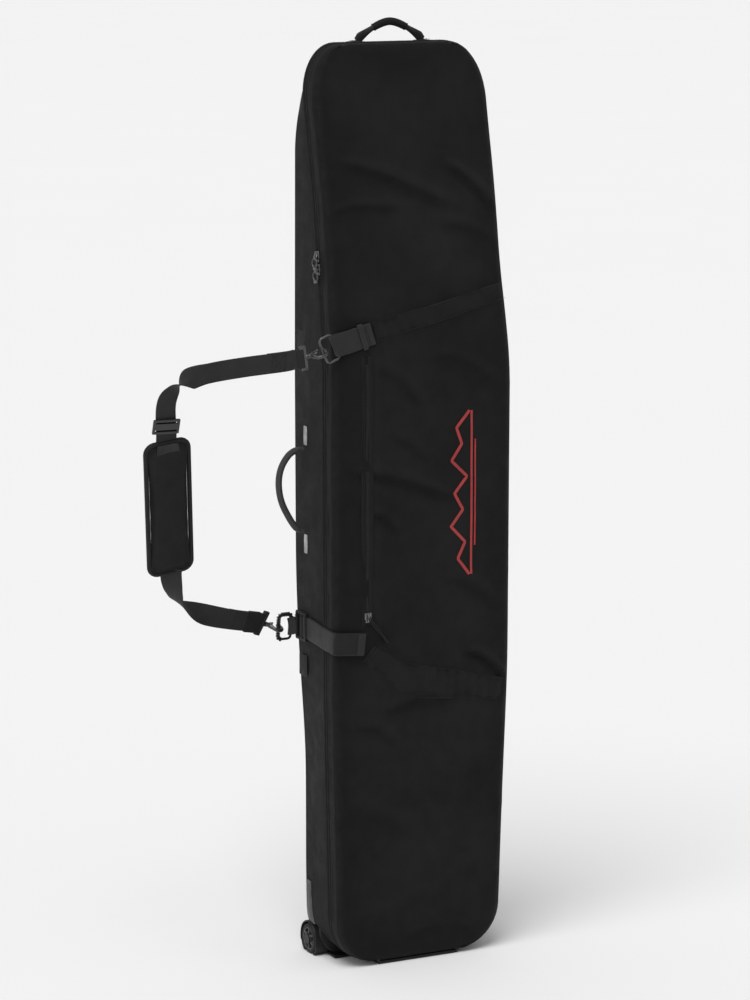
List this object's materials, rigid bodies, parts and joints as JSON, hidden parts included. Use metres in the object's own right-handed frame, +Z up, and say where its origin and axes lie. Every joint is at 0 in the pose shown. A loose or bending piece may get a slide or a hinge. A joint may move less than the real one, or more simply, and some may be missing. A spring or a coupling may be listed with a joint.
{
  "type": "snowboard bag",
  "caption": "Long wheeled padded snowboard bag standing on its wheel end, with a zipped lid, compression straps, carry handles and a clip-on padded shoulder strap.",
  "frame": {"origin": "middle of the base skid's underside, between the wheels' sides, where the bag stands", "axes": "+Z up along the bag's length, +X to the front view's right, front panel facing -Y, back panel facing +Y"},
  "size_m": [0.6685, 0.1955, 1.6431],
  "materials": {
    "shell_fabric": "matte plain-weave polyester",
    "webbing": "ribbed webbing",
    "zipper": "coil zipper tape",
    "zipper_metal": "dark coated die-cast metal",
    "hardware": "dark coated wire, semi-gloss",
    "moulded_plastic": "fine-grained moulding",
    "tyre": "matte",
    "pad_foam": "padded, bound edge",
    "board": "stiffener sheet"
  },
  "bodies": {
    "tray": {"back_shell": "shell_fabric", "zip_tape_tray": "zipper", "hinge_binding": "webbing", "back_stiffener": "board", "wheel_housing": "moulded_plastic", "base_skid": "moulded_plastic", "axle_left": "hardware", "axle_right": "hardware", "haul_anchor_upper": "hardware", "haul_anchor_lower": "hardware", "top_handle_tab_left": "webbing", "top_handle_tab_right": "webbing", "strap_anchor_upper": "webbing", "strap_anchor_lower": "webbing", "inner_strap_upper": "webbing", "inner_strap_lower": "webbing", "inner_buckle_upper": "moulded_plastic", "inner_buckle_lower": "moulded_plastic"},
    "lid": {"front_shell": "shell_fabric", "zip_tape_lid": "zipper", "pocket_zip_tape": "zipper", "pocket_pouch": "shell_fabric", "compression_strap_upper": "webbing", "compression_strap_lower": "webbing", "strap_sleeve_upper": "shell_fabric", "strap_sleeve_lower": "shell_fabric", "strap_keeper_upper": "webbing", "ladder_lock_lower": "moulded_plastic"},
    "wheel_left": {"wheel_hub_left": "moulded_plastic", "wheel_tyre_left": "tyre"},
    "wheel_right": {"wheel_hub_right": "moulded_plastic", "wheel_tyre_right": "tyre"},
    "top_handle": {"top_handle": "webbing", "top_handle_grip": "pad_foam"},
    "haul_handle": {"haul_handle": "webbing"},
    "main_slider_upper": {"main_slider_upper": "zipper_metal"},
    "main_puller_upper": {"main_puller_upper": "zipper_metal"},
    "main_slider_lower": {"main_slider_lower": "zipper_metal"},
    "main_puller_lower": {"main_puller_lower": "zipper_metal"},
    "pocket_slider": {"pocket_slider": "zipper_metal"},
    "pocket_puller": {"pocket_puller": "zipper_metal"},
    "shoulder_strap": {"strap_webbing_upper": "webbing", "strap_webbing_lower": "webbing", "shoulder_pad": "pad_foam", "hook_eye_upper": "hardware", "hook_eye_lower": "hardware"},
    "strap_ring_upper": {"strap_ring_upper": "hardware"},
    "strap_ring_lower": {"strap_ring_lower": "hardware"},
    "hook_upper": {"hook_upper": "hardware"},
    "hook_gate_upper": {"hook_gate_upper": "hardware"},
    "hook_lower": {"hook_lower": "hardware"},
    "hook_gate_lower": {"hook_gate_lower": "hardware"},
    "tri_glide": {"tri_glide": "moulded_plastic"}
  },
  "joints": [
    {"name": "lid_hinge", "type": "hinge", "parent": "tray", "child": "lid", "pos_m": [0.17391, -0.04, 0.585], "axis": [0, 0, 1], "range_deg": [0, 110]},
    {"name": "wheel_left_spin", "type": "hinge", "parent": "tray", "child": "wheel_left", "pos_m": [-0.142, 0.066, 0.0265], "axis": [1, 0, 0], "continuous": true},
    {"name": "wheel_right_spin", "type": "hinge", "parent": "tray", "child": "wheel_right", "pos_m": [0.156, 0.066, 0.0265], "axis": [1, 0, 0], "continuous": true},
    {"name": "top_handle_fold", "type": "hinge", "parent": "tray", "child": "top_handle", "pos_m": [0.0105, 0.0715, 1.6076], "axis": [1, 0, 0], "range_deg": [-70, 70], "stiffness_Nm_per_rad": 0.05},
    {"name": "haul_handle_fold", "type": "hinge", "parent": "tray", "child": "haul_handle", "pos_m": [-0.17675, 0.03, 0.8415], "axis": [0, 0, 1], "range_deg": [-75, 75]},
    {"name": "main_slider_upper_slide", "type": "slide", "parent": "tray", "child": "main_slider_upper", "axis": [0.0053, 0.1574, 0.9875], "range_m": [0, 0.08]},
    {"name": "main_puller_upper_lift", "type": "hinge", "parent": "main_slider_upper", "child": "main_puller_upper", "pos_m": [-0.17755, -0.02304, 1.24905], "axis": [-0.0009, 0.9875, -0.1574], "range_deg": [0, 150]},
    {"name": "main_slider_lower_slide", "type": "slide", "parent": "tray", "child": "main_slider_lower", "axis": [0.0055, 0.1515, 0.9884], "range_m": [-0.08, 0]},
    {"name": "main_puller_lower_lift", "type": "hinge", "parent": "main_slider_lower", "child": "main_puller_lower", "pos_m": [-0.17767, -0.02645, 1.22705], "axis": [-0.0008, 0.9885, -0.1515], "range_deg": [0, 150]},
    {"name": "pocket_slider_slide", "type": "slide", "parent": "lid", "child": "pocket_slider", "axis": [0, 0, 1], "range_m": [0, 0.4]},
    {"name": "pocket_puller_lift", "type": "hinge", "parent": "pocket_slider", "child": "pocket_puller", "pos_m": [-0.108, -0.0883, 0.632], "axis": [-1, 0, 0], "range_deg": [0, 150]},
    {"name": "strap_swing", "type": "hinge", "parent": "lid", "child": "shoulder_strap", "pos_m": [-0.169, -0.0835, 1.105], "axis": [-0.0196, 0.2962, -0.9549], "range_deg": [-60, 10]},
    {"name": "strap_ring_upper_turn", "type": "hinge", "parent": "lid", "child": "strap_ring_upper", "pos_m": [-0.169, -0.0835, 1.105], "axis": [0.4002, 0, -0.9164], "range_deg": [-60, 10]},
    {"name": "strap_ring_lower_turn", "type": "hinge", "parent": "lid", "child": "strap_ring_lower", "pos_m": [-0.1795, 0.075, 0.594], "axis": [0, 0.12, -0.9928], "range_deg": [-60, 10]},
    {"name": "hook_upper_swivel", "type": "hinge", "parent": "shoulder_strap", "child": "hook_upper", "pos_m": [-0.2256, -0.07812, 1.08707], "axis": [0.9614, -0.1493, 0.2312], "range_deg": [-12, 12]},
    {"name": "hook_gate_upper_press", "type": "hinge", "parent": "hook_upper", "child": "hook_gate_upper", "pos_m": [-0.21014, -0.07555, 1.09234], "axis": [0.2658, 0.2856, -0.9207], "range_deg": [0, 14], "stiffness_Nm_per_rad": 0.02},
    {"name": "hook_lower_swivel", "type": "hinge", "parent": "shoulder_strap", "child": "hook_lower", "pos_m": [-0.23745, 0.07145, 0.60545], "axis": [0.9429, 0.0986, -0.318], "range_deg": [-12, 12]},
    {"name": "hook_gate_lower_press", "type": "hinge", "parent": "hook_lower", "child": "hook_gate_lower", "pos_m": [-0.22264, 0.07796, 0.602], "axis": [-0.333, 0.2793, -0.9006], "range_deg": [0, 14], "stiffness_Nm_per_rad": 0.02},
    {"name": "tri_glide_slide", "type": "slide", "parent": "shoulder_strap", "child": "tri_glide", "axis": [0.1324, 0.2936, -0.9467], "range_m": [-0.015, 0.01]}
  ],
  "couplings": [
    {"joint": "strap_ring_upper_turn", "follows": "strap_swing", "ratio": 1},
    {"joint": "strap_ring_lower_turn", "follows": "strap_swing", "ratio": 1}
  ]
}
